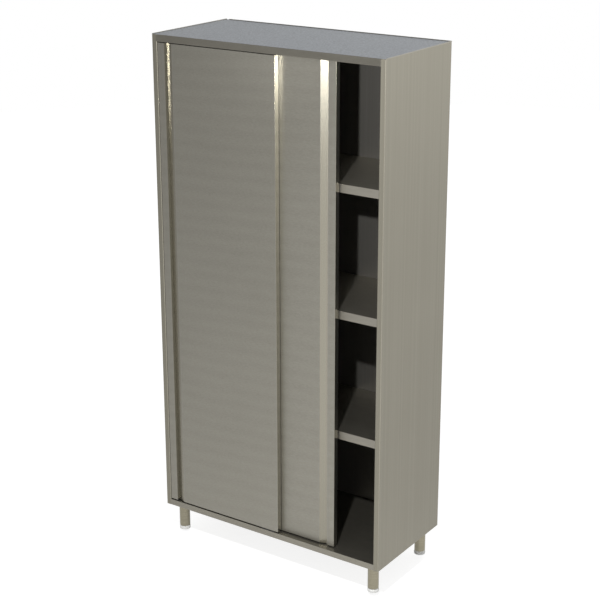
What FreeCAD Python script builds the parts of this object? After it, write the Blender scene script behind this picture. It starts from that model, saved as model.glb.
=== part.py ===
import FreeCAD, Part
import math
import os
from types import SimpleNamespace

import Sketcher
from FreeCAD import Placement, Rotation, Vector

# Storage cabinet of folded stainless sheet with two overlapping sliding doors, three shelves and four tube
# legs. Lengths are in millimetres. The part frame has +Z up, the doors facing -Y and its origin on the floor
# under the middle of the cabinet. Each piece is drawn from the cabinet's own corner: x from its left side,
# y from the front of its frame and z from its lower edge.

# The driving dimensions.
DIMENSIONS = {
    # whole cabinet, without legs
    "cabinet_width": 1000.0,
    "cabinet_depth": 450.0,
    "body_height": 1900.0,
    # folded sheet of the casing
    "sheet": 1.2,
    "bend_radius": 3.0,
    "jamb_width": 22.0,
    "top_rail": 26.0,
    "bottom_rail": 24.0,
    "rail_return": 8.0,
    "edge_radius": 1.0,
    "rear_flange": 20.0,
    # legs and feet
    "leg_length": 100.0,
    "leg_diameter": 42.0,
    "leg_wall": 1.5,
    "leg_inset": 50.0,
    "leg_plate_side": 90.0,
    "leg_plate_thickness": 3.0,
    "leg_bolt_spacing": 70.0,
    "leg_bolt_diameter": 6.0,
    "leg_bolt_head_diameter": 12.0,
    "leg_bolt_head_height": 4.0,
    "bolt_clearance": 0.3,
    "insert_height": 25.0,
    "insert_clearance": 0.1,
    "stem_diameter": 10.0,
    "stem_length": 60.0,
    "stem_clearance": 0.05,
    "foot_height": 15.0,
    "foot_diameter": 44.0,
    "foot_collar_diameter": 38.0,
    "foot_edge": 2.0,
    "foot_shoulder": 9.0,
    "stem_socket": 10.0,
    # sliding doors
    "door_overlap": 96.0,
    "door_thickness": 22.0,
    "door_recess": 2.0,
    "door_gap": 2.0,
    "door_side_clearance": 1.0,
    "door_top_clearance": 4.0,
    "door_bottom_clearance": 5.0,
    "rear_door_opening": 188.5,
    "door_skin": 1.0,
    "pull_strip": 32.0,
    "pull_width": 33.0,
    "pull_depth": 12.0,
    "door_stiffener_width": 30.0,
    # door hangers, rollers and tracks
    "track_wall": 1.5,
    "track_ledge": 6.0,
    "track_end_clearance": 0.5,
    "track_screw_diameter": 4.0,
    "track_screw_head_diameter": 6.8,
    "track_screw_head_height": 2.0,
    "screw_clearance": 0.2,
    "roller_diameter": 15.0,
    "roller_width": 4.5,
    "roller_top_clearance": 2.0,
    "roller_ledge_clearance": 0.3,
    "roller_wall_clearance": 0.8,
    "hub_diameter": 6.4,
    "hub_clearance": 0.3,
    "axle_diameter": 4.0,
    "axle_clearance": 0.05,
    "axle_end": 0.4,
    "hanger_inset": 100.0,
    "hanger_sheet": 2.5,
    "hanger_length": 56.0,
    "hanger_base_width": 16.0,
    "hanger_stem_width": 26.0,
    "hanger_crown": 4.2,
    "stop_length": 20.0,
    "stop_clearance": 0.5,
    "stop_side_clearance": 1.0,
    "stop_height": 15.0,
    # floor guide and the channel it runs in
    "guide_length": 60.0,
    "guide_base_height": 3.0,
    "guide_fin_width": 4.0,
    "guide_fin_clearance": 0.5,
    "guide_fin_reach": 9.0,
    "guide_roof_clearance": 2.0,
    # shelves and their supports
    "shelf_lip": 32.0,
    "shelf_hem": 10.0,
    "shelf_setback": 5.0,
    "shelf_side_clearance": 1.8,
    "shelf_back_clearance": 2.0,
    "stiffener_depth": 20.0,
    "stiffener_width": 30.0,
    "stiffener_flange": 15.0,
    "stiffener_end_gap": 60.0,
    "upright_width": 20.0,
    "upright_depth": 12.0,
    "upright_wall": 1.5,
    "upright_front_inset": 20.0,
    "upright_rear_inset": 30.0,
    "upright_end_gap": 20.0,
    "slot_width": 4.0,
    "slot_height": 11.0,
    "clip_sheet": 1.5,
    "clip_width": 16.0,
    "clip_height": 22.0,
    "clip_tongue": 22.0,
    "tooth_rise": 6.0,
    "tooth_clearance": 0.25,
}
SHELF_NAMES = ("lower", "middle", "upper")
SLOTS_PER_BAY = 10
SLOTS_UNDER_LOWER_SHELF = 8
SCREWS_PER_TRACK = 5
STIFFENER_SHARES = (0.36, 0.7)
HEXAGON_SIDES = 6
SAME_PLACE = 1e-6

doc = FreeCAD.newDocument("storage_cabinet")
sheet = doc.addObject("Spreadsheet::Sheet", "sizes")
for row, (name, value) in enumerate(DIMENSIONS.items(), start=1):
    sheet.set(f"A{row}", name)
    sheet.set(f"B{row}", str(value))
    sheet.setAlias(f"B{row}", name)
doc.recompute()


class Size:
    """A length with the spreadsheet expression that it comes from."""

    def __init__(self, value, text):
        self.value = value
        self.text = text

    def __add__(self, other):
        other = as_size(other)
        return Size(self.value + other.value, f"({self.text} + {other.text})")

    def __sub__(self, other):
        other = as_size(other)
        return Size(self.value - other.value, f"({self.text} - {other.text})")

    def __mul__(self, other):
        other = as_size(other)
        return Size(self.value * other.value, f"({self.text} * {other.text})")

    def __truediv__(self, other):
        other = as_size(other)
        return Size(self.value / other.value, f"({self.text} / {other.text})")

    def __neg__(self):
        return Size(-self.value, f"(0 - {self.text})")


def as_size(value):
    """A plain number as a Size, and a Size as it is."""
    return value if isinstance(value, Size) else Size(value, repr(value))


def hypotenuse(one, other):
    """Length of the slant between two square lengths."""
    return Size(math.hypot(one.value, other.value), f"sqrt({one.text}^2 + {other.text}^2)")


size = SimpleNamespace(**{name: Size(value, f"sizes.{name}") for name, value in DIMENSIONS.items()})
nodes = []


def new_node(name, x=0, y=0, z=0):
    """A body of its own, placed by cabinet coordinates."""
    body = doc.addObject("PartDesign::Body", name)
    body.Label = name
    body.AllowCompound = True
    corner = (
        as_size(x) - size.cabinet_width / 2,
        as_size(y) - size.cabinet_depth / 2,
        as_size(z) + size.leg_length + size.foot_height,
    )
    body.Placement = Placement(Vector(*(part.value for part in corner)), Rotation())
    for letter, part in zip("xyz", corner):
        body.setExpression(f"Placement.Base.{letter}", part.text)
    nodes.append(body)
    return body


def tie_point(sketch, line, end, x, y):
    """Ties one point of the sketch to its two coordinates."""
    for coordinate, kind, axis in ((x, "DistanceX", -2), (y, "DistanceY", -1)):
        if isinstance(coordinate, Size):
            index = sketch.addConstraint(Sketcher.Constraint(kind, -1, 1, line, end, coordinate.value))
            sketch.setExpression(f"Constraints[{index}]", coordinate.text)
        else:
            sketch.addConstraint(Sketcher.Constraint("PointOnObject", line, end, axis))


def number(coordinate):
    return as_size(coordinate).value


def draw_polygon(sketch, corners):
    """A closed outline of straight lines, each corner tied to the sheet."""
    first = sketch.GeometryCount
    points = [Vector(number(x), number(y), 0) for x, y in corners]
    count = len(points)
    for i in range(count):
        sketch.addGeometry(Part.LineSegment(points[i], points[(i + 1) % count]), False)
    for i in range(count):
        sketch.addConstraint(Sketcher.Constraint("Coincident", first + i, 2, first + (i + 1) % count, 1))
        tie_point(sketch, first + i, 1, *corners[i])


def draw_circle(sketch, x, y, radius):
    """A circle with its centre and radius tied to the sheet."""
    centre = Vector(number(x), number(y), 0)
    line = sketch.addGeometry(Part.Circle(centre, Vector(0, 0, 1), radius.value), False)
    index = sketch.addConstraint(Sketcher.Constraint("Radius", line, radius.value))
    sketch.setExpression(f"Constraints[{index}]", radius.text)
    tie_point(sketch, line, 3, x, y)


def new_sketch(body, role, loops, offset=0):
    """A sketch on one of the body's planes. A loop is a list of corners, or a circle's x, y and radius."""
    sketch = body.newObject("Sketcher::SketchObject", "outline")
    plane = next(feature for feature in body.Origin.OriginFeatures if feature.Role == role)
    sketch.AttachmentSupport = [(plane, "")]
    sketch.MapMode = "FlatFace"
    if isinstance(offset, Size):
        sketch.AttachmentOffset = Placement(Vector(0, 0, offset.value), Rotation())
        sketch.setExpression("AttachmentOffset.Base.z", offset.text)
    for loop in loops:
        if isinstance(loop, tuple):
            draw_circle(sketch, *loop)
        else:
            draw_polygon(sketch, loop)
    return sketch


# For each axis: the plane square to it, and whether that plane's normal points along the axis.
PLANES = {"x": ("YZ_Plane", True), "y": ("XZ_Plane", False), "z": ("XY_Plane", True)}


def extrude(body, axis, loops, start, length, kind="PartDesign::Pad"):
    """Adds, or with a Pocket cuts, the loops' area from start along the axis."""
    role, along = PLANES[axis]
    offset = start if along or not isinstance(start, Size) else -start
    sketch = new_sketch(body, role, loops, offset)
    feature = body.newObject(kind, "solid")
    feature.Profile = sketch
    feature.Length = length.value
    feature.setExpression("Length", length.text)
    feature.Reversed = (not along) if kind == "PartDesign::Pad" else along
    sketch.Visibility = False
    return feature


def cut(body, axis, loops, start, length):
    return extrude(body, axis, loops, start, length, "PartDesign::Pocket")


def revolve(body, role, loops):
    """Turns outlines of radius and height about the plane's upright axis."""
    sketch = new_sketch(body, role, loops)
    feature = body.newObject("PartDesign::Revolution", "turned")
    feature.Profile = sketch
    feature.ReferenceAxis = (sketch, ["V_Axis"])
    feature.Angle = 360
    return feature


def rectangle(x, y, wide, high):
    """Corners of a rectangle from its lower left corner."""
    right = x + wide if isinstance(x, Size) else wide
    top = y + high if isinstance(y, Size) else high
    return [(x, y), (right, y), (right, top), (x, top)]


def round_edges(body, radius, is_edge):
    """Rounds the edges that is_edge picks on the body's last feature."""
    doc.recompute()
    base = body.Tip
    edges = [f"Edge{i}" for i, edge in enumerate(base.Shape.Edges, start=1) if is_edge(edge)]
    fillet = body.newObject("PartDesign::Fillet", "bend")
    fillet.Base = (base, edges)
    fillet.Radius = radius.value
    fillet.setExpression("Radius", radius.text)
    return fillet


def edge_at(places, spot):
    """Picks the straight edges whose two ends both lie, by spot's reckoning, at one of the given places."""
    goals = [(number(one), number(other)) for one, other in places]

    def is_edge(edge):
        ends = [spot(vertex.Point) for vertex in edge.Vertexes]
        return len(ends) > 1 and any(all(math.dist(end, goal) < SAME_PLACE for end in ends) for goal in goals)
    return is_edge


def upright_edge_at(places):
    """Picks the vertical edges that stand at one of the given x, y places."""
    return edge_at(places, lambda point: (point.x, point.y))


def edge_along_x(places):
    """Picks the edges along the cabinet's width that lie at one of the given y, z places."""
    return edge_at(places, lambda point: (point.y, point.z))


# Places that several pieces share.
front_door_face = size.door_recess
rear_door_face = size.door_recess + size.door_thickness + size.door_gap
door_space = rear_door_face + size.door_thickness + size.door_gap
opening_width = size.cabinet_width - size.jamb_width * 2
door_width = (opening_width - size.door_side_clearance * 2 + size.door_overlap) / 2
door_bottom = size.bottom_rail + size.door_bottom_clearance
door_top = size.body_height - size.top_rail - size.door_top_clearance
door_height = door_top - door_bottom
closed_left = size.jamb_width + size.door_side_clearance
closed_right = size.cabinet_width - closed_left
roof_under = size.body_height - size.sheet
back_face = size.cabinet_depth - size.sheet * 2


def side_panel(name, mirrored):
    """Side wall with its boxed front jamb and its rear flange, all one folded sheet."""
    jamb, thick, depth = size.jamb_width, size.sheet, size.cabinet_depth
    outline = [
        (jamb, door_space), (jamb, 0), (0, 0), (0, depth), (size.rear_flange, depth),
        (size.rear_flange, depth - thick), (thick, depth - thick), (thick, thick),
        (jamb - thick, thick), (jamb - thick, door_space),
    ]
    outer_bends = [(0, 0), (0, depth), (jamb, 0)]
    inner_bends = [(thick, thick), (thick, depth - thick), (jamb - thick, thick)]
    relief = rectangle(jamb - size.bend_radius, thick, size.bend_radius, door_space)
    if mirrored:
        outline = [(jamb - x, y) for x, y in outline]
        outer_bends = [(jamb - x, y) for x, y in outer_bends]
        inner_bends = [(jamb - x, y) for x, y in inner_bends]
        relief = rectangle(0, thick, size.bend_radius, door_space)
    body = new_node(name, size.cabinet_width - jamb if mirrored else 0)
    extrude(body, "z", [outline], 0, roof_under)
    round_edges(body, size.bend_radius, upright_edge_at(outer_bends))
    round_edges(body, size.bend_radius - size.sheet, upright_edge_at(inner_bends))
    cut(body, "z", [relief], 0, size.bottom_rail)


def floor_outline():
    """The sheet between the side walls and the back, its corners cut clear of the bends."""
    left, right = size.sheet, size.cabinet_width - size.sheet
    near, far, bend = size.sheet, back_face, size.bend_radius
    return [
        (bend, near), (size.cabinet_width - bend, near), (right, bend), (right, far - bend),
        (size.cabinet_width - bend, far), (bend, far), (left, far - bend), (left, bend),
    ]


def top_panel():
    """Lid with a turned-down rail at the front and at the back."""
    thick = size.sheet
    rail_foot = size.body_height - size.top_rail
    front_rail = [
        (0, rail_foot), (size.rail_return, rail_foot), (size.rail_return, rail_foot + thick),
        (thick, rail_foot + thick), (thick, size.body_height), (0, size.body_height),
    ]
    rear_rail = rectangle(size.cabinet_depth - thick, rail_foot, thick, size.top_rail)
    body = new_node("top_panel")
    extrude(body, "z", [rectangle(0, 0, size.cabinet_width, size.cabinet_depth)], roof_under, thick)
    extrude(body, "x", [front_rail], size.jamb_width, opening_width)
    rear_width = size.cabinet_width - size.rear_flange * 2
    extrude(body, "x", [rear_rail], size.rear_flange, rear_width)
    round_edges(body, size.edge_radius, edge_along_x([(0, size.body_height), (0, rail_foot)]))


def bottom_panel():
    """Cabinet floor, turned down on all four sides; the front one is the lower rail of the frame."""
    thick = size.sheet
    front_rail = [
        (0, 0), (size.rail_return, 0), (size.rail_return, thick),
        (thick, thick), (thick, size.bottom_rail), (0, size.bottom_rail),
    ]
    strip_start = size.bend_radius
    strip_length = back_face - strip_start * 2
    left_strip = rectangle(thick, strip_start, thick, strip_length)
    right_strip = rectangle(size.cabinet_width - thick * 2, strip_start, thick, strip_length)
    back_strip = rectangle(strip_start, back_face - thick, size.cabinet_width - strip_start * 2, thick)
    body = new_node("bottom_panel")
    extrude(body, "z", [floor_outline()], size.bottom_rail - thick, thick)
    extrude(body, "x", [front_rail], size.jamb_width, opening_width)
    for strip in (left_strip, right_strip, back_strip):
        extrude(body, "z", [strip], 0, size.bottom_rail)
    round_edges(body, size.edge_radius, edge_along_x([(0, size.bottom_rail), (0, 0)]))


def back_panel():
    """Plain sheet that closes the cabinet in front of the side panels' rear flanges."""
    body = new_node("back_panel")
    wide = size.cabinet_width - size.bend_radius * 2
    extrude(body, "z", [rectangle(size.bend_radius, back_face, wide, size.sheet)], 0, roof_under)


def hat_stiffener(name, left, length, middle, top):
    """Hat-section channel along the width, its two flanges against the sheet above it."""
    thick, flange, depth = size.sheet, size.stiffener_flange, size.stiffener_depth
    near, far = flange, flange + size.stiffener_width
    outline = [
        (0, depth), (near + thick, depth), (near + thick, thick), (far - thick, thick),
        (far - thick, depth), (far + flange, depth), (far + flange, depth - thick),
        (far, depth - thick), (far, 0), (near, 0), (near, depth - thick), (0, depth - thick),
    ]
    half_width = flange + size.stiffener_width / 2
    body = new_node(name, left, middle - half_width, top - depth)
    extrude(body, "x", [outline], 0, length)


# Shelves divide the space between floor and upper rail into bays of one height.
clear_height = size.body_height - size.top_rail - size.bottom_rail
bay_height = (clear_height - size.shelf_lip * len(SHELF_NAMES)) / (len(SHELF_NAMES) + 1)
shelf_pitch = bay_height + size.shelf_lip
upright_face = size.sheet + size.upright_depth
shelf_left = upright_face + size.shelf_side_clearance
shelf_width = size.cabinet_width - shelf_left * 2
shelf_front = door_space + size.shelf_setback
shelf_depth = back_face - size.shelf_back_clearance - shelf_front
slot_pitch = shelf_pitch / SLOTS_PER_BAY


def shelf_foot(index):
    """Height of a shelf's lower edge, from the cabinet's lower edge."""
    return size.bottom_rail + bay_height + shelf_pitch * index


def shelf(name, index):
    """Shelf sheet turned down on four sides, with a hem under its front lip."""
    thick, lip, hem = size.sheet, size.shelf_lip, size.shelf_hem
    body = new_node(f"{name}_shelf", shelf_left, shelf_front, shelf_foot(index))
    inner_width = shelf_width - thick * 2
    extrude(body, "z", [rectangle(0, 0, shelf_width, shelf_depth)], 0, lip)
    cut(body, "z", [rectangle(thick, hem, inner_width, shelf_depth - thick - hem)], 0, lip - thick)
    cut(body, "z", [rectangle(thick, thick, inner_width, hem)], thick, lip - thick * 2)
    round_edges(body, size.edge_radius, edge_along_x([(0, 0), (0, lip)]))
    stiffener_left = shelf_left + size.stiffener_end_gap
    stiffener_length = shelf_width - size.stiffener_end_gap * 2
    hat_stiffener(f"{name}_shelf_stiffener", stiffener_left, stiffener_length,
                  shelf_front + shelf_depth / 2, shelf_foot(index) + lip - thick)


def upright(name, mirrored, front):
    """Slotted channel on the side wall that the shelf clips hook into."""
    wide, deep, wall = size.upright_width, size.upright_depth, size.upright_wall
    foot = size.bottom_rail + size.upright_end_gap
    length = clear_height - size.upright_end_gap * 2
    outline = [
        (0, 0), (deep, 0), (deep, wide), (0, wide),
        (0, wide - wall), (deep - wall, wide - wall), (deep - wall, wall), (0, wall),
    ]
    if mirrored:
        outline = [(deep - x, y) for x, y in outline]
    left = size.cabinet_width - size.sheet - deep if mirrored else size.sheet
    body = new_node(name, left, front, foot)
    extrude(body, "z", [outline], 0, length)
    lower_slot = shelf_foot(0) + size.tooth_rise - size.tooth_clearance - foot
    first_slot = lower_slot - slot_pitch * SLOTS_UNDER_LOWER_SHELF
    slot = rectangle(wide / 2 - size.slot_width / 2, first_slot, size.slot_width, size.slot_height)
    slots = cut(body, "x", [slot], 0, deep)
    doc.recompute()
    count = int((number(length) - number(first_slot) - number(size.slot_height)) / number(slot_pitch)) + 1
    pattern = body.newObject("PartDesign::LinearPattern", "slots")
    pattern.Originals = [slots]
    z_axis = next(feature for feature in body.Origin.OriginFeatures if feature.Role == "Z_Axis")
    pattern.Direction = (z_axis, [""])
    pattern.Occurrences = count
    run = slot_pitch * (count - 1)
    pattern.Length = run.value
    pattern.setExpression("Length", run.text)
    body.Tip = pattern


front_upright = door_space + size.upright_front_inset
rear_upright = back_face - size.upright_rear_inset - size.upright_width


def shelf_clips(name, index):
    """Four bent clips under one shelf, each with a tooth in its upright's slot."""
    thick, foot = size.clip_sheet, shelf_foot(index)
    bend = [
        (upright_face, foot - thick), (upright_face + size.clip_tongue, foot - thick),
        (upright_face + size.clip_tongue, foot), (upright_face + thick, foot),
        (upright_face + thick, foot + size.clip_height), (upright_face, foot + size.clip_height),
    ]
    tooth_width = size.slot_width - size.tooth_clearance * 2
    tooth_height = size.slot_height - size.tooth_clearance * 2
    tooth_reach = size.upright_wall * 2
    tooth = rectangle(upright_face - tooth_reach, foot + size.tooth_rise, tooth_reach, tooth_height)
    body = new_node(f"{name}_shelf_clips")
    for front in (front_upright, rear_upright):
        middle = front + size.upright_width / 2
        for loop, wide in ((bend, size.clip_width), (tooth, tooth_width)):
            other_side = [(size.cabinet_width - x, z) for x, z in loop]
            extrude(body, "y", [loop, other_side], middle - wide / 2, wide)


# Heights of the hanging gear, from the roof down.
roller_height = roof_under - size.track_wall - size.roller_top_clearance - size.roller_diameter / 2
track_foot = roller_height - size.roller_diameter / 2 - size.roller_ledge_clearance - size.track_wall
track_left = size.jamb_width + size.track_end_clearance
track_length = opening_width - size.track_end_clearance * 2
track_height = roof_under - track_foot
door_faces = {"front": front_door_face, "rear": rear_door_face}


def screw_places():
    """Distances of the track screws from the track's left end."""
    return [track_length * (i * 2 + 1) / (SCREWS_PER_TRACK * 2) for i in range(SCREWS_PER_TRACK)]


def track(name, face):
    """Channel with two inward ledges that a door's rollers run on."""
    wide, wall, ledge = size.door_thickness, size.track_wall, size.track_wall + size.track_ledge
    outline = [
        (0, 0), (ledge, 0), (ledge, wall), (wall, wall), (wall, track_height - wall),
        (wide - wall, track_height - wall), (wide - wall, wall), (wide - ledge, wall),
        (wide - ledge, 0), (wide, 0), (wide, track_height), (0, track_height),
    ]
    body = new_node(f"{name}_track", track_left, face, track_foot)
    extrude(body, "x", [outline], 0, track_length)
    hole = size.track_screw_diameter / 2 + size.screw_clearance
    holes = [(x, wide / 2, hole) for x in screw_places()]
    cut(body, "z", holes, track_height - wall, wall)


def track_screws():
    """Short studs and nuts that hold both tracks under the lid."""
    head_foot = roof_under - size.track_wall - size.track_screw_head_height
    body = new_node("track_screws", track_left, 0, head_foot)
    middles = [face + size.door_thickness / 2 for face in door_faces.values()]
    places = [(x, y) for x in screw_places() for y in middles]
    heads = [(x, y, size.track_screw_head_diameter / 2) for x, y in places]
    shanks = [(x, y, size.track_screw_diameter / 2) for x, y in places]
    extrude(body, "z", heads, 0, size.track_screw_head_height)
    extrude(body, "z", shanks, size.track_screw_head_height, size.track_wall)


def track_stops():
    """Rubber blocks in the tracks, which the outer hangers meet."""
    body = new_node("track_stops", 0, 0, track_foot + size.track_wall)
    inner_end = closed_left + size.hanger_inset - size.hanger_stem_width / 2 - size.stop_clearance
    margin = size.track_wall + size.stop_side_clearance
    for face in door_faces.values():
        for left in (inner_end - size.stop_length, size.cabinet_width - inner_end):
            block = rectangle(left, face + margin, size.stop_length, size.door_thickness - margin * 2)
            extrude(body, "z", [block], 0, size.stop_height)


# The channel in a door's lower edge lies against the door's back sheet, behind the finger pull.
channel_width = size.guide_fin_width + size.guide_fin_clearance * 2 + size.door_skin * 2
channel_height = size.guide_fin_reach + size.guide_roof_clearance + size.door_skin
channel_front = size.door_thickness - size.door_skin - channel_width


def bottom_guide():
    """Plastic block on the floor with one fin for each door."""
    base, pitch = size.guide_base_height, size.door_thickness + size.door_gap
    wide = pitch + size.door_thickness
    fin, top = size.guide_fin_width, size.door_bottom_clearance + size.guide_fin_reach
    near = channel_front + size.door_skin + size.guide_fin_clearance
    far = near + pitch
    outline = [
        (0, 0), (wide, 0), (wide, base), (far + fin, base), (far + fin, top), (far, top),
        (far, base), (near + fin, base), (near + fin, top), (near, top), (near, base), (0, base),
    ]
    left = (size.cabinet_width - size.guide_length) / 2
    body = new_node("bottom_guide", left, front_door_face, size.bottom_rail)
    extrude(body, "x", [outline], 0, size.guide_length)


def flip(points, mirrored):
    """The same outline for a door whose finger pull is on the other side."""
    return [(door_width - x, y) for x, y in points] if mirrored else points


def door_skin(name, left, face, mirrored):
    """Folded front of a door with the finger pull pressed along its outer edge."""
    skin, strip, deep = size.door_skin, size.pull_strip, size.pull_depth
    inner_back = size.door_thickness - skin
    pull_end = strip + size.pull_width
    outline = [
        (0, 0), (strip, 0), (strip, deep), (pull_end, 0),
        (door_width, 0), (door_width, inner_back), (0, inner_back),
    ]
    slant = hypotenuse(size.pull_width, deep)
    turn = deep + (deep + slant) * skin / size.pull_width
    ramp_end = strip + (deep + slant * skin / size.pull_width - skin) * size.pull_width / deep
    inside = [
        (skin, skin), (strip - skin, skin), (strip - skin, turn), (ramp_end, skin),
        (door_width - skin, skin), (door_width - skin, inner_back), (skin, inner_back),
    ]
    body = new_node(f"{name}_door_skin", left, face, door_bottom)
    extrude(body, "z", [flip(outline, mirrored)], 0, door_height)
    cut(body, "z", [flip(inside, mirrored)], skin, door_height - skin * 2)
    cut(body, "z", [rectangle(0, channel_front, door_width, inner_back - channel_front)], 0, skin)
    corners = [(0, 0), (pull_end, 0), (door_width, 0)]
    round_edges(body, size.edge_radius, upright_edge_at(flip(corners, mirrored)))


def door_back(name, left, face):
    """Flat sheet that closes a door behind."""
    body = new_node(f"{name}_door_back", left, face, door_bottom)
    inner_back = size.door_thickness - size.door_skin
    extrude(body, "z", [rectangle(0, inner_back, door_width, size.door_skin)], 0, door_height)


def door_channel(name, left, face):
    """Guide channel in a door's lower edge, open downwards."""
    skin = size.door_skin
    outline = [
        (0, 0), (skin, 0), (skin, channel_height - skin), (channel_width - skin, channel_height - skin),
        (channel_width - skin, 0), (channel_width, 0), (channel_width, channel_height), (0, channel_height),
    ]
    body = new_node(f"{name}_door_channel", left + skin, face + channel_front, door_bottom)
    extrude(body, "x", [outline], 0, door_width - skin * 2)


def door_stiffeners(name, left, face, mirrored):
    """Two upright channels between a door's two sheets."""
    skin, wide = size.door_skin, size.door_stiffener_width
    deep = size.door_thickness - skin * 2
    body = new_node(f"{name}_door_stiffeners", left, face + skin, door_bottom + channel_height)
    loops = []
    for share in STIFFENER_SHARES:
        near = door_width * share
        far = near + wide
        channel = [
            (near, 0), (far, 0), (far, deep), (far - skin, deep),
            (far - skin, skin), (near + skin, skin), (near + skin, deep), (near, deep),
        ]
        loops.append(flip(channel, mirrored))
    extrude(body, "z", loops, 0, door_height - channel_height - skin)


def hanger(name, middle, face):
    """Bent bracket on a door's upper edge; its stem carries the axle."""
    thick, base = size.hanger_sheet, size.hanger_length
    left = middle - base / 2
    body = new_node(name, left, face, door_top)
    base_front = (size.door_thickness - size.hanger_base_width) / 2
    stem_front = (size.door_thickness - thick) / 2
    stem_left = (base - size.hanger_stem_width) / 2
    stem_height = roller_height + size.hanger_crown - door_top
    stem = rectangle(stem_left, 0, size.hanger_stem_width, stem_height)
    extrude(body, "y", [rectangle(0, 0, base, thick)], base_front, size.hanger_base_width)
    extrude(body, "y", [stem], stem_front, thick)
    hole = (base / 2, roller_height - door_top, size.axle_diameter / 2 + size.axle_clearance)
    cut(body, "y", [hole], stem_front, thick)


# Half the width over a pair of rollers, and half the gap between their hubs.
roller_reach = size.door_thickness / 2 - size.track_wall - size.roller_wall_clearance
hub_gap = size.hanger_sheet / 2 + size.hub_clearance


def axles(name, middles, face):
    """Pins through both hangers of a door."""
    half = roller_reach + size.axle_end
    start = size.door_thickness / 2 - half
    body = new_node(name, 0, face, roller_height)
    extrude(body, "y", [(middle, 0, size.axle_diameter / 2) for middle in middles], start, half * 2)


def rollers(name, middle, face):
    """Two plastic wheels on one axle, one on each side of the hanger."""
    bore = size.axle_diameter / 2 + size.axle_clearance
    hub, rim, wide = size.hub_diameter / 2, size.roller_diameter / 2, size.roller_width
    far, near_hub, far_hub = roller_reach * 2, roller_reach - hub_gap, roller_reach + hub_gap
    near_wheel = [(bore, 0), (rim, 0), (rim, wide), (hub, wide), (hub, near_hub), (bore, near_hub)]
    far_rim = far - wide
    far_wheel = [(bore, far_hub), (hub, far_hub), (hub, far_rim), (rim, far_rim), (rim, far), (bore, far)]
    body = new_node(name, middle, face + size.door_thickness / 2 - roller_reach, roller_height)
    revolve(body, "XY_Plane", [near_wheel, far_wheel])


def door(name, left, mirrored):
    """One sliding door with everything that travels with it."""
    face = door_faces[name]
    hangers = {"left": left + size.hanger_inset, "right": left + door_width - size.hanger_inset}
    door_skin(name, left, face, mirrored)
    door_back(name, left, face)
    door_channel(name, left, face)
    door_stiffeners(name, left, face, mirrored)
    for side, middle in hangers.items():
        hanger(f"{name}_door_{side}_hanger", middle, face)
        rollers(f"{name}_door_{side}_rollers", middle, face)
    axles(f"{name}_door_axles", list(hangers.values()), face)


leg_places = {
    "front_left": (size.leg_inset, size.leg_inset),
    "front_right": (size.cabinet_width - size.leg_inset, size.leg_inset),
    "rear_left": (size.leg_inset, size.cabinet_depth - size.leg_inset),
    "rear_right": (size.cabinet_width - size.leg_inset, size.cabinet_depth - size.leg_inset),
}
floor_under = size.bottom_rail - size.sheet
plate_under = floor_under - size.leg_plate_thickness


def bolt_places(x, y):
    """The four bolts around a leg."""
    half = size.leg_bolt_spacing / 2
    return [(x - half, y - half), (x + half, y - half), (x + half, y + half), (x - half, y + half)]


def leg(name, x, y):
    """Round tube welded to its mounting plate."""
    half = size.leg_plate_side / 2
    outside = size.leg_diameter / 2
    body = new_node(f"{name}_leg", x - half, y - half, 0)
    plate = rectangle(0, 0, size.leg_plate_side, size.leg_plate_side)
    extrude(body, "z", [plate], plate_under, size.leg_plate_thickness)
    tube = [(half, half, outside), (half, half, outside - size.leg_wall)]
    extrude(body, "z", tube, -size.leg_length, size.leg_length + plate_under)
    hole = size.leg_bolt_diameter / 2 + size.bolt_clearance
    holes = [(bolt_x, bolt_y, hole) for bolt_x, bolt_y in bolt_places(half, half)]
    cut(body, "z", holes, plate_under, size.leg_plate_thickness)


def hexagon(x, y, diameter):
    """Outline of a bolt head by its width over the corners."""
    turns = [math.tau * i / HEXAGON_SIDES for i in range(HEXAGON_SIDES)]
    half = diameter / 2
    return [(x + half * math.cos(turn), y + half * math.sin(turn)) for turn in turns]


def leg_bolts():
    """Bolts that hold the leg plates under the floor."""
    body = new_node("leg_bolts", 0, 0, plate_under - size.leg_bolt_head_height)
    for x, y in leg_places.values():
        places = bolt_places(x, y)
        heads = [hexagon(bolt_x, bolt_y, size.leg_bolt_head_diameter) for bolt_x, bolt_y in places]
        shanks = [(bolt_x, bolt_y, size.leg_bolt_diameter / 2) for bolt_x, bolt_y in places]
        extrude(body, "z", heads, 0, size.leg_bolt_head_height)
        extrude(body, "z", shanks, size.leg_bolt_head_height, size.leg_plate_thickness)


def leg_insert(name, x, y):
    """Threaded plug in the foot of a leg."""
    body = new_node(f"{name}_leg_insert", x, y, -size.leg_length)
    outside = size.leg_diameter / 2 - size.leg_wall - size.insert_clearance
    bore = size.stem_diameter / 2 + size.stem_clearance
    revolve(body, "XZ_Plane", [rectangle(bore, 0, outside - bore, size.insert_height)])


def foot(name, x, y):
    """Levelling foot: a plastic pad and its screwed stem."""
    rim, collar, high = size.foot_diameter / 2, size.foot_collar_diameter / 2, size.foot_height
    bore, socket_foot = size.stem_diameter / 2 + size.stem_clearance, high - size.stem_socket
    outline = [
        (0, 0), (rim - size.foot_edge, 0), (rim, size.foot_edge), (rim, size.foot_shoulder),
        (collar, high), (bore, high), (bore, socket_foot), (0, socket_foot),
    ]
    pad_foot = -size.leg_length - high
    pad = new_node(f"{name}_foot_pad", x, y, pad_foot)
    revolve(pad, "XZ_Plane", [outline])
    stem = new_node(f"{name}_foot_stem", x, y, pad_foot + socket_foot)
    extrude(stem, "z", [(0, 0, size.stem_diameter / 2)], 0, size.stem_length)


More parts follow.
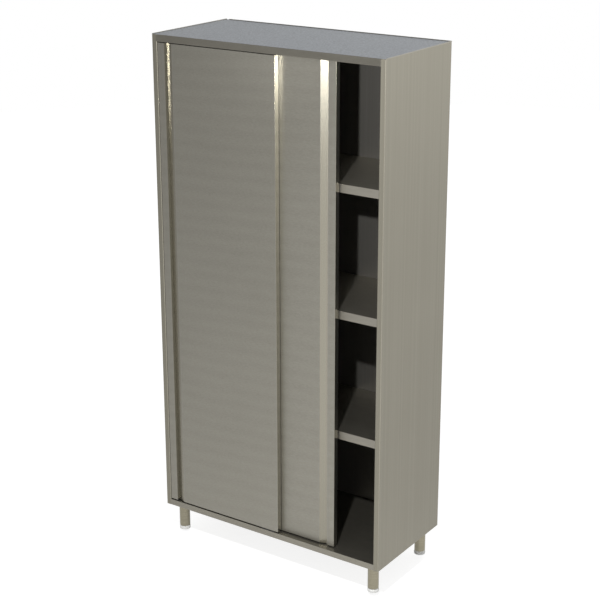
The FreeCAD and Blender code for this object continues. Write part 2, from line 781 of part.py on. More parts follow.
side_panel("left_side_panel", False)
side_panel("right_side_panel", True)
top_panel()
bottom_panel()
back_panel()
hat_stiffener("bottom_stiffener", size.leg_inset * 2, size.cabinet_width - size.leg_inset * 4,
              size.cabinet_depth / 2, floor_under)
for index, name in enumerate(SHELF_NAMES):
    shelf(name, index)
    shelf_clips(name, index)
for side, mirrored in (("left", False), ("right", True)):
    upright(f"front_{side}_upright", mirrored, front_upright)
    upright(f"rear_{side}_upright", mirrored, rear_upright)
for name, face in door_faces.items():
    track(name, face)
track_screws()
track_stops()
bottom_guide()
door("front", closed_left, False)
door("rear", closed_right - size.rear_door_opening - door_width, True)
for name, (x, y) in leg_places.items():
    leg(name, x, y)
    leg_insert(name, x, y)
    foot(name, x, y)
leg_bolts()
doc.recompute()

failed = [thing.Name for thing in doc.Objects if "Invalid" in thing.State or "Error" in thing.State]
broken = [node.Label for node in nodes if node.Shape.isNull() or not node.Shape.isValid()]
if failed or broken:
    raise SystemExit(f"features that failed: {failed}, shapes that are not valid: {broken}")

os.makedirs("parts", exist_ok=True)
for node in nodes:
    node.Shape.exportStep(f"parts/{node.Label}.step")
    box = node.Shape.BoundBox
    print(f"{node.Label}: {len(node.Shape.Solids)} solids, {node.Shape.Volume:.0f} mm3,"
          f" x {box.XMin:.1f} to {box.XMax:.1f}, y {box.YMin:.1f} to {box.YMax:.1f},"
          f" z {box.ZMin:.1f} to {box.ZMax:.1f}")
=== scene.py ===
# %% [markdown]
# # A steel storage cabinet with two sliding doors
#
# This script dresses a cabinet whose pieces were already built to size in a CAD program. The sheet
# metal, doors, shelves and legs come in as finished meshes, so the work here is what a photographer
# and a metal finisher would do: give every sheet its brushed grain, add the small machined details
# that a plain model lacks, and light it in a white studio.

# %% Load the cabinet
import math

import bpy
from mathutils import Matrix, Vector


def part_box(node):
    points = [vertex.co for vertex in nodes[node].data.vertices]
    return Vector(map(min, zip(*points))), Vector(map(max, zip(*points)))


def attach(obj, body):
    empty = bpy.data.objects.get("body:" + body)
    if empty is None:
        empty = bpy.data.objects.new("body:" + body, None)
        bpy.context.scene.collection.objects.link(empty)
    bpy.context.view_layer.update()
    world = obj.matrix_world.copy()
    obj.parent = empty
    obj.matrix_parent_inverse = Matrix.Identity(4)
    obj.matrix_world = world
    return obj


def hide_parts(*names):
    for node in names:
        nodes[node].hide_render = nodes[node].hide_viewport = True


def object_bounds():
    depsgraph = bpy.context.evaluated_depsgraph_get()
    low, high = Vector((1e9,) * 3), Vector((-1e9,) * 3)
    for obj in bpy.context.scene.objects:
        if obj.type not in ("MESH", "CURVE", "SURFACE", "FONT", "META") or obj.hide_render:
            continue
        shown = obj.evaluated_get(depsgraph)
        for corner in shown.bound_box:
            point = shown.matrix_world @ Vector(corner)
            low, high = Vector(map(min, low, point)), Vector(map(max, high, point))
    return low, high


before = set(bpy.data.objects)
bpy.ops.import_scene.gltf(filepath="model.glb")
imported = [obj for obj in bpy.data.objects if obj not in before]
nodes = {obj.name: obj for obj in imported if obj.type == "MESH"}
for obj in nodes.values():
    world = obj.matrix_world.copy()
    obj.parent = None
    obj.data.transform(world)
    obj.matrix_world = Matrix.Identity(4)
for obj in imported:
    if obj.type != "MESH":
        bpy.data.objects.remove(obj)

cad_low, cad_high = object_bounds()
MM = 0.001
cad_size = cad_high - cad_low
print(f"{len(nodes)} CAD pieces, {cad_size.x:.3f} x {cad_size.y:.3f} x {cad_size.z:.3f} m")

# %% [markdown]
# ## Places worked out from the cabinet
#
# Everything that is added later hangs on a few places of the cabinet: the middles of the four legs,
# and the size of a foot's stem and pad. They are measured from the loaded pieces, so they stay
# right if a size changes.

# %% Measure the cabinet
CORNERS = ("front_left", "front_right", "rear_left", "rear_right")
leg_centre = {}
for corner in CORNERS:
    low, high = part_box(f"{corner}_leg_insert")
    leg_centre[corner] = Vector(((low.x + high.x) / 2, (low.y + high.y) / 2, 0))
stem_low, stem_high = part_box("front_left_foot_stem")
pad_low, pad_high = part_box("front_left_foot_pad")
stem_radius = (stem_high.x - stem_low.x) / 2
pad_radius = (pad_high.x - pad_low.x) / 2
pad_height = pad_high.z - pad_low.z
print(f"legs at {[tuple(round(v, 3) for v in c.xy) for c in leg_centre.values()]}")
print(f"stem {stem_radius * 2 / MM:.1f} mm thick")
print(f"pad {pad_radius * 2 / MM:.1f} mm wide and {pad_height / MM:.1f} mm high")

# %% [markdown]
# ## Small helpers for shader nodes
#
# A material is a little network of nodes, and these helpers keep the network readable. The first
# two feed a node's inputs and add a node. The next six make the kinds that come up most, and each
# returns the socket that the next step needs: a sum or a product, the reach along a direction, a
# mix of two tones, a noise, a range mapped to another, and a faint relief. The last three start a
# group, start a material, and turn a colour as the screen shows it into a linear one.

# %% Node helpers
NOISE_RANGE = (0.3, 0.7)
WHITE = (1.0, 1.0, 1.0, 1.0)


def feed(tree, node, values):
    """Give a node its inputs by name or number: a socket is linked and anything else is set."""
    for name, value in values.items():
        if isinstance(value, bpy.types.NodeSocket):
            tree.links.new(value, node.inputs[name])
        else:
            node.inputs[name].default_value = value


def add(tree, kind, values=None, **options):
    """Add a node, set its options by name and feed its inputs."""
    node = tree.nodes.new(kind)
    for name, value in options.items():
        setattr(node, name, value)
    feed(tree, node, values or {})
    return node


def math_node(tree, operation, first, second=None, clamp=False):
    """Put two numbers or sockets through one Math node and return its output."""
    values = {0: first} if second is None else {0: first, 1: second}
    return add(tree, "ShaderNodeMath", values, operation=operation, use_clamp=clamp).outputs[0]


def dot(tree, vector, direction):
    """Return how far a vector reaches along a fixed direction."""
    values = {0: vector, 1: direction}
    return add(tree, "ShaderNodeVectorMath", values, operation="DOT_PRODUCT").outputs["Value"]


def mix(tree, kind, factor, first, second):
    """Mix two tones (RGBA) or two numbers (FLOAT) by a factor."""
    values = {"Factor": factor, "A": first, "B": second}
    return add(tree, "ShaderNodeMix", values, data_type=kind).outputs["Result"]


def noise(tree, place, scale, detail=2.0, roughness=0.5):
    """Return a noise of the place, which keeps mostly to the noise range above."""
    values = {"Vector": place, "Scale": scale, "Detail": detail, "Roughness": roughness}
    return add(tree, "ShaderNodeTexNoise", values).outputs["Fac"]


def map_range(tree, value, low, high, to_low=0.0, to_high=1.0):
    """Map one range of numbers to another, and hold the result at its ends."""
    values = {"Value": value, "From Min": low, "From Max": high, "To Min": to_low, "To Max": to_high}
    return add(tree, "ShaderNodeMapRange", values).outputs["Result"]


def bumpy(tree, height, strength, distance):
    """Return the normal of a surface with a faint relief."""
    values = {"Strength": strength, "Distance": distance, "Height": height}
    return add(tree, "ShaderNodeBump", values).outputs["Normal"]


def new_group(name, inputs, outputs):
    """Start a node group from the names and kinds of its sockets and return what goes into it."""
    group = bpy.data.node_groups.new(name, "ShaderNodeTree")
    for side, sockets in (("INPUT", inputs), ("OUTPUT", outputs)):
        for label, kind in sockets.items():
            group.interface.new_socket(label, in_out=side, socket_type=f"NodeSocket{kind}")
    return group, add(group, "NodeGroupInput").outputs


def new_material(name, metallic):
    """Start a material and return it with its network and its surface."""
    material = bpy.data.materials.new(name)
    material.use_nodes = True
    tree = material.node_tree
    surface = tree.nodes["Principled BSDF"]
    feed(tree, surface, {"Metallic": metallic})
    return material, tree, surface


def srgb(red, green, blue):
    """Turn a colour as a screen shows it, 0 to 255, into the linear colour that Blender works in."""
    def linear(value):
        share = value / 255
        return share / 12.92 if share <= 0.04045 else ((share + 0.055) / 1.055) ** 2.4
    return (linear(red), linear(green), linear(blue), 1.0)


print("casing tone in linear light:", [round(v, 3) for v in srgb(150, 146, 135)[:3]])

# %% [markdown]
# ## Brushed grain
#
# Stainless sheet is finished with an abrasive belt that leaves fine parallel lines. The lines are
# long in one direction and hair-thin in the other, so a noise texture squeezed far more across than
# along gives them. The belt leaves wider, fainter waves the same way, and no belt presses evenly
# over a two-metre sheet, which leaves a slow cloud. On a wide sheet it also hops at a steady pace,
# which leaves faint bands: a sine of the place, pushed about a little by a slow noise. One group
# makes all four, and each material says which way its lines run and how strong they are.

# %% The brushed grain group
LINE_DETAIL, LINE_ROUGHNESS = 3.0, 0.7
WAVES_PER_LINE = 0.15
BANDS = (-6.0, 0.0, 113.0)
WOBBLES_PER_METRE, WOBBLE_DETAIL = 3.0, 1.0
BAND_WOBBLE = 3.0
BAND_HEIGHT = 0.16


def brushed_grain():
    """Build the group that turns a position into a tone, a roughness and a height of the sheet."""
    group, given = new_group(
        "brushed grain",
        {"Position": "Vector", "Squeeze": "Vector", "Cloud Scale": "Float", "Dark": "Color",
         "Light": "Color", "Line Share": "Float", "Wave Share": "Float", "Band Share": "Float",
         "Roughness": "Float", "Roughness Spread": "Float"},
        {"Tone": "Color", "Roughness": "Float", "Height": "Float"})
    position = given["Position"]
    squeezed = add(group, "ShaderNodeVectorMath", {0: position, 1: given["Squeeze"]},
                   operation="MULTIPLY").outputs[0]
    lines = noise(group, squeezed, 1.0, LINE_DETAIL, LINE_ROUGHNESS)
    waves = noise(group, squeezed, WAVES_PER_LINE)
    cloud = noise(group, position, given["Cloud Scale"])
    slow = mix(group, "FLOAT", given["Wave Share"], cloud, waves)
    wobble = noise(group, position, WOBBLES_PER_METRE, WOBBLE_DETAIL)
    phase = math_node(group, "ADD", dot(group, position, BANDS),
                      math_node(group, "MULTIPLY", wobble, BAND_WOBBLE))
    hop = math_node(group, "MULTIPLY", math_node(group, "SINE", phase), BAND_HEIGHT)
    banded = mix(group, "FLOAT", given["Band Share"], slow, math_node(group, "ADD", hop, 0.5))
    blend = mix(group, "FLOAT", given["Line Share"], banded, lines)
    tone = mix(group, "RGBA", map_range(group, blend, *NOISE_RANGE), given["Dark"], given["Light"])
    swing = math_node(group, "MULTIPLY", math_node(group, "SUBTRACT", blend, 0.5),
                      given["Roughness Spread"])
    rough = math_node(group, "ADD", given["Roughness"], math_node(group, "MULTIPLY", swing, 2.0))
    add(group, "NodeGroupOutput", {"Tone": tone, "Roughness": rough, "Height": lines})
    return group


GRAIN = brushed_grain()
print("brushed grain:", [item.name for item in GRAIN.interface.items_tree])

# %% [markdown]
# ## Polished bends with a painted sheen
#
# Where sheet is folded, the press stretches and burnishes its outer skin, so a bend is smoother than
# the flat beside it. Bends and sloping faces also get a tone of their own, a painted sheen that
# stands in for the shine they catch. A bend is easy to find: its surface faces along none of the
# cabinet's three axes. A mask made from the object's own normals marks it on every sheet, and it
# stays put from any point of view. A second mask marks what faces left or right: on a door those are
# its edges and the steps of its finger pull, which hands and the brake press leave as smooth as the
# bends. They get no painted sheen.

# %% The bend mask group
SURELY_BENT, SURELY_FLAT = 0.955, 0.995
EDGE_STARTS, EDGE_SURE = 0.9, 0.99


def bend_mask():
    """Build the group that marks folds and sloping faces, and apart from them what faces sideways."""
    group, given = new_group("bend mask", {"Normal": "Vector"}, {"Bend": "Float", "Edge": "Float"})
    facing = add(group, "ShaderNodeVectorMath", {0: given["Normal"]}, operation="ABSOLUTE").outputs[0]
    along_x, along_y, along_z = add(group, "ShaderNodeSeparateXYZ", {0: facing}).outputs
    most = math_node(group, "MAXIMUM", math_node(group, "MAXIMUM", along_x, along_y), along_z)
    add(group, "NodeGroupOutput", {
        "Bend": map_range(group, most, SURELY_BENT, SURELY_FLAT, 1.0, 0.0),
        "Edge": map_range(group, along_x, EDGE_STARTS, EDGE_SURE)})
    return group


BENDS = bend_mask()
print("bend mask:", [item.name for item in BENDS.interface.items_tree])

# %% [markdown]
# ## The sheet steel
#
# One function makes a material for a sheet: it places the two groups, lets the bends be smoother,
# paints a sheen on them as a tone of their own, and feeds the lines into a very faint bump. A sheet
# is then described by its tones, the run of its lines and how rough it is, which is how a workshop
# would order it.

# %% A material for brushed sheet
ALONG_X = (90.0, 400.0, 400.0)
ALONG_Z = (700.0, 700.0, 2.2)
QUARTER_TURN = 0.25
ROUGHNESS_SPREAD = 0.05
BEND_ROUGHNESS = 0.24
LINE_BUMP, LINE_DEPTH = 0.01, 0.2 * MM


def sheet_steel(name, dark, light, squeeze, roughness, metallic=1.0, cloud=2.5, line_share=0.4,
                wave_share=0.6, band_share=0.0, bend_sheen_tone=None, edge_roughness=None, anisotropy=0.0):
    """Make a brushed steel material from two tones, the run of its lines and its roughness."""
    material, tree, surface = new_material(name, metallic)
    if anisotropy:
        round_z = add(tree, "ShaderNodeTangent", direction_type="RADIAL", axis="Z").outputs[0]
        feed(tree, surface, {"Anisotropic": anisotropy, "Anisotropic Rotation": QUARTER_TURN,
                             "Tangent": round_z})
    place = add(tree, "ShaderNodeTexCoord").outputs
    grain = add(tree, "ShaderNodeGroup", node_tree=GRAIN)
    feed(tree, grain, {
        "Position": place["Object"], "Squeeze": squeeze, "Cloud Scale": cloud, "Dark": dark,
        "Light": light, "Line Share": line_share, "Wave Share": wave_share,
        "Band Share": band_share, "Roughness": roughness, "Roughness Spread": ROUGHNESS_SPREAD})
    bend = add(tree, "ShaderNodeGroup", node_tree=BENDS)
    feed(tree, bend, {"Normal": place["Normal"]})
    folded, sideways = bend.outputs["Bend"], bend.outputs["Edge"]
    smooth = mix(tree, "FLOAT", folded, grain.outputs["Roughness"], BEND_ROUGHNESS)
    if edge_roughness is not None:
        smooth = mix(tree, "FLOAT", sideways, smooth, edge_roughness)
    # Bends and sloping faces get their own tone, a painted sheen; by default it is the light tone of
    # the grain.
    tone = mix(tree, "RGBA", folded, grain.outputs["Tone"], bend_sheen_tone or light)
    relief = bumpy(tree, grain.outputs["Height"], LINE_BUMP, LINE_DEPTH)
    feed(tree, surface, {"Base Color": tone, "Roughness": smooth, "Normal": relief})
    return material


SIDE_STEEL = sheet_steel("side steel", srgb(137, 133, 120), srgb(151, 147, 134), ALONG_Z, 0.4, 0.85)
DOOR_STEEL = sheet_steel("door steel", srgb(147, 144, 134), srgb(166, 163, 153), ALONG_X, 0.44, 0.93,
                         line_share=0.6, wave_share=0.35, band_share=0.45,
                         bend_sheen_tone=srgb(150, 146, 133), edge_roughness=0.16, anisotropy=0.5)
SHELF_STEEL = sheet_steel("shelf steel", srgb(147, 143, 133), srgb(161, 157, 147), ALONG_X, 0.5)
BACK_STEEL = sheet_steel("back steel", srgb(140, 137, 131), srgb(154, 151, 145), ALONG_Z, 0.3, 0.8)
FLOOR_STEEL = sheet_steel("floor steel", srgb(138, 134, 124), srgb(152, 148, 137), ALONG_X, 0.22, 0.85)
FOLDED_ZINC = sheet_steel("zinc plated steel", srgb(138, 140, 142), srgb(168, 170, 172), ALONG_X, 0.4,
                          cloud=40)
DARK_FITTING = sheet_steel("blackened steel", srgb(58, 57, 55), srgb(78, 76, 73), ALONG_X, 0.45,
                           cloud=40)
print("sheet materials:", *(sheet.name for sheet in (SIDE_STEEL, DOOR_STEEL, SHELF_STEEL, BACK_STEEL,
                                                     FLOOR_STEEL, FOLDED_ZINC, DARK_FITTING)))

# %% [markdown]
# ## The lid
#
# The lid is the same sheet as the rest, but it lies flat and is seen at a low angle. Its top face is
# given a cooler, finely mottled tone than the casing: a painted reflection of a cool sky at a low
# angle. Its rails, which face forwards, keep the casing's grain.

# %% A material for the lid
MOTTLES_PER_METRE, MOTTLE_DETAIL, MOTTLE_ROUGHNESS = 150.0, 3.0, 0.7
TOP_STARTS, TOP_SURE = 0.6, 0.9


def lid_steel(name):
    """Make the lid's material: a cool, mottled painted sky reflection on top, brushed along its rails.
    """
    material = sheet_steel(name, srgb(150, 146, 135), srgb(166, 162, 151), ALONG_X, 0.34)
    tree = material.node_tree
    surface = tree.nodes["Principled BSDF"]
    brushed = surface.inputs["Base Color"].links[0].from_socket
    place = add(tree, "ShaderNodeTexCoord").outputs
    # The top face's cool, mottled tone is a painted reflection of a cool sky.
    speckle = noise(tree, place["Object"], MOTTLES_PER_METRE, MOTTLE_DETAIL, MOTTLE_ROUGHNESS)
    painted_sky_reflection = mix(tree, "RGBA", map_range(tree, speckle, *NOISE_RANGE), srgb(84, 89, 95),
               srgb(152, 158, 165))
    upward = add(tree, "ShaderNodeSeparateXYZ", {0: place["Normal"]}).outputs["Z"]
    on_top = map_range(tree, upward, TOP_STARTS, TOP_SURE)
    feed(tree, surface, {"Base Color": mix(tree, "RGBA", on_top, brushed, painted_sky_reflection)})
    return material


LID_STEEL = lid_steel("lid steel")
print("lid material:", LID_STEEL.name)

# %% [markdown]
# ## Turned, moulded and rubber pieces
#
# The legs are tube, polished while it spins, so their lines run round. Rollers are white nylon,
# feet are pale moulded plastic and the door stops are black rubber. None of them is metal sheet, so
# a second function makes plain solids: two tones mixed by a fine noise, a roughness that varies,
# and a faint bump.

# %% Materials for the other pieces
FINE_DETAIL, FINE_ROUGHNESS = 3.0, 0.6
GLOSS_SWING = 0.06
SOLID_DEPTH = 0.3 * MM
ROUND_Z = (9, 9, 1400)


def solid_finish(name, dark, light, roughness, metallic=0.0, scale=220.0, squeeze=(1, 1, 1), bump=0.05):
    """Make a material for a turned, cast or moulded piece."""
    material, tree, surface = new_material(name, metallic)
    place = add(tree, "ShaderNodeTexCoord").outputs["Object"]
    turned = add(tree, "ShaderNodeMapping", {"Vector": place, "Scale": squeeze}).outputs["Vector"]
    fine = noise(tree, turned, scale, FINE_DETAIL, FINE_ROUGHNESS)
    tone = mix(tree, "RGBA", map_range(tree, fine, *NOISE_RANGE), dark, light)
    gloss = map_range(tree, fine, 0.0, 1.0, roughness - GLOSS_SWING, roughness + GLOSS_SWING)
    relief = bumpy(tree, fine, bump, SOLID_DEPTH)
    feed(tree, surface, {"Base Color": tone, "Roughness": gloss, "Normal": relief})
    return material


LEG_STEEL = solid_finish("leg tube steel", srgb(140, 135, 117), srgb(166, 160, 141), 0.3, 1.0, 1.0,
                         ROUND_Z, 0.02)
BRIGHT_STEEL = solid_finish("bright steel", srgb(166, 166, 164), srgb(196, 196, 194), 0.26, 1.0, 400.0)
WELD_STEEL = solid_finish("weld bead", srgb(96, 88, 78), srgb(148, 140, 126), 0.38, 1.0, 160.0,
                          bump=0.3)
NYLON = solid_finish("white nylon", srgb(216, 214, 206), srgb(230, 228, 221), 0.42)
GUIDE_NYLON = solid_finish("black nylon", srgb(38, 38, 40), srgb(52, 52, 54), 0.45)
FOOT_PLASTIC = solid_finish("foot plastic", srgb(230, 230, 227), srgb(242, 242, 240), 0.5, bump=0.2)
RUBBER = solid_finish("stop rubber", srgb(24, 24, 25), srgb(36, 36, 37), 0.72, bump=0.35)
print("other finishes:", *(finish.name for finish in (LEG_STEEL, BRIGHT_STEEL, WELD_STEEL, NYLON,
                                                      GUIDE_NYLON, FOOT_PLASTIC, RUBBER)))

# %% [markdown]
# ## Dressing the CAD pieces
#
# Each loaded piece keeps its mesh and gets one finish. The names of the pieces say what they are,
# so a short list of name endings, read from the most special to the most general, is enough to
# choose.

# %% Give every CAD piece its finish
FINISHES = (
    ("top_panel", LID_STEEL), ("side_panel", SIDE_STEEL), ("back_panel", BACK_STEEL),
    ("bottom_panel", FLOOR_STEEL), ("door_skin", DOOR_STEEL), ("door_back", DOOR_STEEL),
    ("shelf", SHELF_STEEL), ("leg", LEG_STEEL), ("axles", BRIGHT_STEEL), ("stem", BRIGHT_STEEL),
    ("screws", BRIGHT_STEEL), ("bolts", BRIGHT_STEEL), ("hanger", DARK_FITTING), ("rollers", NYLON),
    ("bottom_guide", GUIDE_NYLON), ("foot_pad", FOOT_PLASTIC), ("stops", RUBBER),
)
for name, piece in nodes.items():
    finish = next((material for ending, material in FINISHES if name.endswith(ending)), FOLDED_ZINC)
    for slot in piece.material_slots:
        slot.material = finish
print({material.name: sum(s.material == material for o in nodes.values() for s in o.material_slots)
       for material in bpy.data.materials if material.users})

# %% [markdown]
# ## Working by hand, in code
#
# The pieces below are modelled as one would at the screen: a primitive is added, parts of it are
# selected, and the tools of edit mode shape it. An operator acts on whatever is selected, so each
# piece starts with nothing selected, and its faces or points are then picked by their place.

# %% Helpers for hand modelling
def select_only(*pieces):
    """Leave edit mode and select these pieces alone, the first of them active."""
    if bpy.context.object and bpy.context.object.mode == "EDIT":
        bpy.ops.object.mode_set(mode="OBJECT")
    bpy.ops.object.select_all(action="DESELECT")
    for piece in pieces:
        piece.select_set(True)
    if pieces:
        bpy.context.view_layer.objects.active = pieces[0]


def pick(piece, kind, wanted):
    """Select the points or faces of a piece that the test accepts, and open edit mode on them."""
    bpy.ops.object.mode_set(mode="EDIT")
    bpy.ops.mesh.select_mode(type=kind)
    bpy.ops.mesh.select_all(action="DESELECT")
    bpy.ops.object.mode_set(mode="OBJECT")
    for element in piece.data.vertices if kind == "VERT" else piece.data.polygons:
        element.select = wanted(element)
    bpy.ops.object.mode_set(mode="EDIT")


def set_down(piece, material, slot, body, *stands_for):
    """Put a finished piece's place into its mesh, give it its finish and let it ride on its body."""
    select_only(piece)
    bpy.ops.object.transform_apply(location=True, rotation=True, scale=True)
    piece.data.materials.clear()
    piece.data.materials.append(material)
    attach(piece, body)
    if stands_for:
        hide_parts(*stands_for)


def copy_to(piece, name, shift):
    """Copy a piece with its own mesh to another place."""
    twin = piece.copy()
    twin.data = piece.data.copy()
    twin.name = twin.data.name = name
    twin.location = piece.location + shift
    bpy.context.scene.collection.objects.link(twin)
    return twin


print("ready to model")

# %% [markdown]
# ## The threaded stems of the feet
#
# Each foot screws into its leg on a steel stem with an M10 thread, and when a foot is wound down,
# some turns of it show. A thread is a ridge that climbs round a core. The ridge starts as a
# triangle standing beside the axis, and the Screw modifier winds it upwards by one pitch a turn.
# The core is a bevelled cylinder.

# %% Model one threaded stem
PITCH = 1.5 * MM
THREAD_DEPTH = 0.85 * MM
CORE_BEVEL = 0.6 * MM
STEPS_PER_TURN = 18
THREAD_CREASE = math.radians(35)
stem_length = stem_high.z - stem_low.z
turns = int((stem_length - 2 * PITCH) / PITCH)
# A triangle is one and a half times as high as the radius of the circle round it.
ridge_radius = THREAD_DEPTH / 1.5

select_only()
bpy.ops.mesh.primitive_cylinder_add(vertices=STEPS_PER_TURN * 2, radius=stem_radius - THREAD_DEPTH,
                                    depth=stem_length, location=(0, 0, stem_length / 2))
core = bpy.context.object
pick(core, "FACE", lambda face: abs(face.normal.z) > 0.9)
bpy.ops.mesh.bevel(offset=CORE_BEVEL, segments=2)
select_only()
bpy.ops.mesh.primitive_circle_add(vertices=3, radius=ridge_radius,
                                  location=(stem_radius - ridge_radius, 0, PITCH),
                                  rotation=(math.pi / 2, math.pi / 6, 0))
ridge = bpy.context.object
bpy.ops.object.transform_apply(location=True, rotation=True, scale=True)
climb = ridge.modifiers.new("climb", "SCREW")
climb.screw_offset = PITCH
climb.iterations = turns
climb.steps = climb.render_steps = STEPS_PER_TURN
bpy.ops.object.modifier_apply(modifier=climb.name)
bpy.ops.object.mode_set(mode="EDIT")
bpy.ops.mesh.select_all(action="SELECT")
bpy.ops.mesh.fill_holes(sides=0)
bpy.ops.mesh.normals_make_consistent(inside=False)
select_only(core, ridge)
bpy.ops.object.join()
bpy.ops.object.transform_apply(location=True, rotation=True, scale=True)
bpy.ops.object.shade_smooth_by_angle(angle=THREAD_CREASE)
stem = bpy.context.object
print(f"{turns} turns of thread, {len(stem.data.polygons)} faces")

# %% [markdown]
# ## The foot pads
#
# A pad is moulded plastic: a wide foot with a rounded lower edge, a fluted grip for the fingers
# that turn it, a shoulder, and a collar round the stem. It is drawn upwards from a filled circle,
# ring by ring, the way a potter pulls a wall, and every second face of the grip is then pressed in.
#
# Blender lists the faces that an extrusion makes in an order that changes from run to run. At the
# end they are sorted by their distance from a point beside the pad that no two faces share, so
# that the same mesh comes out each time.

# %% Model one foot pad
RIM_FACES = 72
SHOULDER = 9 * MM
COLLAR_RADIUS = 19 * MM
SOLE_EDGE = 1.2 * MM
GRIP_START, GRIP_END = 2.2 * MM, SHOULDER - 2 * MM
FLUTE = 0.5 * MM
PAD_CREASE = math.radians(30)
BESIDE_PAD = Vector((72, 21, 40)) * MM
rings = (
    (pad_radius - 0.3 * MM, 0.4 * MM), (pad_radius, 1.2 * MM),
    (pad_radius, GRIP_START), (pad_radius, GRIP_END),
    (pad_radius, SHOULDER - 1.2 * MM), (pad_radius - 0.5 * MM, SHOULDER - 0.4 * MM),
    (pad_radius - 1.4 * MM, SHOULDER), (COLLAR_RADIUS, SHOULDER + 0.6 * MM),
    (COLLAR_RADIUS - 0.4 * MM, pad_height - 1.2 * MM),
    (COLLAR_RADIUS - 0.9 * MM, pad_height - 0.4 * MM),
    (COLLAR_RADIUS - 1.8 * MM, pad_height), (stem_radius + 1.2 * MM, pad_height),
    (stem_radius + 0.2 * MM, pad_height - 0.8 * MM), (stem_radius + 0.1 * MM, pad_height - 4 * MM),
)

select_only()
radius, height = pad_radius - SOLE_EDGE, 0.0
bpy.ops.mesh.primitive_circle_add(vertices=RIM_FACES, radius=radius, fill_type="NGON")
pad = bpy.context.object
bpy.ops.object.mode_set(mode="EDIT")
bpy.ops.mesh.select_mode(type="EDGE")
bpy.ops.mesh.select_all(action="SELECT")
bpy.ops.mesh.flip_normals()
for ring_radius, ring_height in rings:
    bpy.ops.mesh.extrude_edges_move(TRANSFORM_OT_translate={"value": (0, 0, ring_height - height)})
    share = ring_radius / radius
    bpy.ops.transform.resize(value=(share, share, 1), center_override=(0, 0, 0))
    radius, height = ring_radius, ring_height
bpy.ops.mesh.edge_face_add()
bpy.ops.object.mode_set(mode="OBJECT")


def is_flute(face):
    """Tell whether a face is every second one round the grip."""
    middle = face.center
    place = math.atan2(middle.y, middle.x) / math.tau * RIM_FACES
    on_grip = GRIP_START < middle.z < GRIP_END and middle.xy.length > COLLAR_RADIUS
    return on_grip and math.floor(place) % 2 == 0


pick(pad, "FACE", is_flute)
bpy.ops.mesh.extrude_region_shrink_fatten(TRANSFORM_OT_shrink_fatten={"value": -FLUTE})
select_only(pad)
bpy.ops.object.mode_set(mode="EDIT")
bpy.ops.mesh.select_all(action="SELECT")
bpy.ops.mesh.normals_make_consistent(inside=False)
bpy.context.scene.cursor.location = BESIDE_PAD
bpy.ops.mesh.sort_elements(type="CURSOR_DISTANCE", elements={"FACE"})
bpy.context.scene.cursor.location = (0, 0, 0)
bpy.ops.object.mode_set(mode="OBJECT")
bpy.ops.object.shade_smooth_by_angle(angle=PAD_CREASE)
print(f"foot pad with {len(pad.data.polygons)} faces, {RIM_FACES // 2} flutes")

# %% [markdown]
# One stem and one pad are copied to each leg. They ride on that leg's foot and stand for the plain
# pieces of the CAD model.

# %% Set a stem and a pad under each leg
for corner in CORNERS:
    spot = leg_centre[corner]
    screwed = copy_to(stem, f"{corner}_threaded_stem", spot + Vector((0, 0, stem_low.z)))
    set_down(screwed, BRIGHT_STEEL, "fitting_steel", f"{corner}_foot", f"{corner}_foot_stem")
    standing = copy_to(pad, f"{corner}_fluted_pad", spot)
    set_down(standing, FOOT_PLASTIC, "foot_plastic", f"{corner}_foot", f"{corner}_foot_pad")
for spare in (stem, pad):
    bpy.data.objects.remove(spare)
print("stems and pads set under", len(CORNERS), "legs")

# %% [markdown]
# ## The welds of the legs
#
# Each leg tube is welded to its square plate, and a hand weld is a rope of overlapping drops. It
# starts as a torus with many short segments. Every fourth ring of it is then drawn in a little,
# which leaves the ripple, and smooth shading softens it.

# %% Model one weld and copy it to each leg
LEG_RADIUS = 21 * MM
LEG_PLATE = 3 * MM
BEAD = 1.7 * MM
BEAD_FROM_TUBE = BEAD * 0.3
RIPPLE = BEAD * 0.22
BEAD_RINGS, BEAD_SIDES, RINGS_PER_DROP = 128, 8, 4
plate_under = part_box("front_left_leg")[1].z - LEG_PLATE


def starts_a_drop(point):
    """Tell whether a point of the weld lies on the first ring of a drop."""
    ring = round(math.atan2(point.co.y, point.co.x) / math.tau * BEAD_RINGS)
    return ring % RINGS_PER_DROP == 0


select_only()
bpy.ops.mesh.primitive_torus_add(major_segments=BEAD_RINGS, minor_segments=BEAD_SIDES,
                                 major_radius=LEG_RADIUS + BEAD_FROM_TUBE, minor_radius=BEAD,
                                 location=(0, 0, 0))
weld = bpy.context.object
pick(weld, "VERT", starts_a_drop)
bpy.ops.transform.shrink_fatten(value=-RIPPLE)
select_only(weld)
bpy.ops.object.shade_smooth()
for corner in CORNERS:
    bead = copy_to(weld, f"{corner}_leg_weld", leg_centre[corner] + Vector((0, 0, plate_under)))
    set_down(bead, WELD_STEEL, "leg_steel", "root")
bpy.data.objects.remove(weld)
print("welds at height", round(plate_under, 4))

# %% [markdown]
# ## The ground welds of the front frame
#
# Each side sheet turns round a small bend into the front frame, and the rails of the lid and of the
# floor stop against it. In the workshop the little valley beside the bend is filled with weld and
# ground flush, so that the frame looks like one sheet. Each filling starts as a slim block, and a
# bisecting plane cuts it away along the bend.

